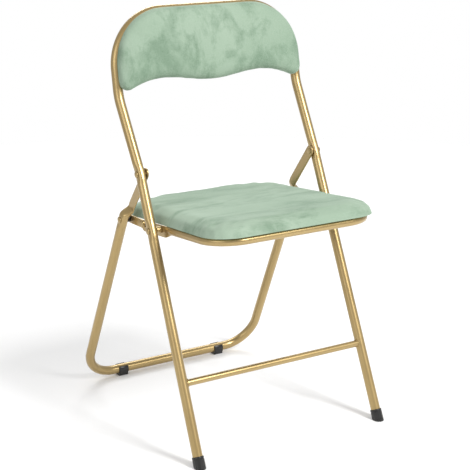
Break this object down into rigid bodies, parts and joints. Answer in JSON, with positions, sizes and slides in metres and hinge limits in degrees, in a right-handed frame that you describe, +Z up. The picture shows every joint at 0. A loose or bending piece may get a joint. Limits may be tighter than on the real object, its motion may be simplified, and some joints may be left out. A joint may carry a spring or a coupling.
{
  "type": "folding chair",
  "caption": "Folding chair with a bent steel tube frame, a padded velvet seat and back, and links that fold the seat and rear legs flat.",
  "frame": {"origin": "on the floor, under the middle of the open chair's bounding box", "axes": "+Z up, -Y out of the front of the seat, X across the chair"},
  "size_m": [0.4292, 0.5177, 0.7999],
  "materials": {
    "painted_gold": "satin champagne gold",
    "zinc_steel": "bright zinc",
    "black_plastic": "smooth moulded",
    "sage_velvet": "short pile velvet",
    "plywood": "raw birch plywood",
    "black_backing_cloth": "thin non-woven cloth"
  },
  "bodies": {
    "frame": {"backrest_back_cover": "black_backing_cloth", "backrest_board": "plywood", "backrest_cushion": "sage_velvet", "backrest_screw_side_left": "zinc_steel", "backrest_screw_side_right": "zinc_steel", "backrest_screw_top_left": "zinc_steel", "backrest_screw_top_right": "zinc_steel", "backrest_tab_side_left": "painted_gold", "backrest_tab_side_right": "painted_gold", "backrest_tab_top_left": "painted_gold", "backrest_tab_top_right": "painted_gold", "front_foot_cap_left": "black_plastic", "front_foot_cap_right": "black_plastic", "front_frame": "painted_gold", "front_stretcher": "painted_gold", "rear_pivot_rivet_left": "painted_gold", "rear_pivot_rivet_right": "painted_gold", "rear_pivot_washer_left": "painted_gold", "rear_pivot_washer_right": "painted_gold", "seat_pivot_rivet_left": "painted_gold", "seat_pivot_rivet_right": "painted_gold", "seat_pivot_spacer_left": "painted_gold", "seat_pivot_spacer_right": "painted_gold"},
    "rear_frame": {"link_leg_rivet_left": "painted_gold", "link_leg_rivet_right": "painted_gold", "link_leg_spacer_left": "black_plastic", "link_leg_spacer_right": "black_plastic", "rear_foot_glide_left": "black_plastic", "rear_foot_glide_right": "black_plastic", "rear_frame": "painted_gold"},
    "seat": {"link_seat_rivet_end_left": "painted_gold", "link_seat_rivet_end_right": "painted_gold", "seat_back_cover": "black_backing_cloth", "seat_board": "plywood", "seat_cushion": "sage_velvet", "seat_frame": "painted_gold", "seat_screw_front_left": "zinc_steel", "seat_screw_front_right": "zinc_steel", "seat_screw_rear_left": "zinc_steel", "seat_screw_rear_right": "zinc_steel", "seat_tab_front_left": "painted_gold", "seat_tab_front_right": "painted_gold", "seat_tab_rear_left": "painted_gold", "seat_tab_rear_right": "painted_gold"},
    "links": {"fold_link_left": "painted_gold", "fold_link_right": "painted_gold", "link_seat_rivet_left": "painted_gold", "link_seat_rivet_right": "painted_gold", "link_seat_washer_left": "black_plastic", "link_seat_washer_right": "black_plastic"}
  },
  "joints": [
    {"name": "seat_fold", "type": "hinge", "parent": "frame", "child": "seat", "pos_m": [0, -0.0524, 0.404], "axis": [-1, 0, 0], "range_deg": [0, 107.15]},
    {"name": "rear_fold", "type": "hinge", "parent": "frame", "child": "rear_frame", "pos_m": [0, -0.00864, 0.5027], "axis": [-1, 0, 0], "range_deg": [0, 49.31]},
    {"name": "link_fold", "type": "hinge", "parent": "rear_frame", "child": "links", "pos_m": [0, 0.06433, 0.3986], "axis": [1, 0, 0], "range_deg": [0, 97.03]}
  ],
  "couplings": [
    {"joint": "rear_fold", "follows": "seat_fold", "ratio": 0.46007},
    {"joint": "link_fold", "follows": "seat_fold", "ratio": 0.90545}
  ]
}
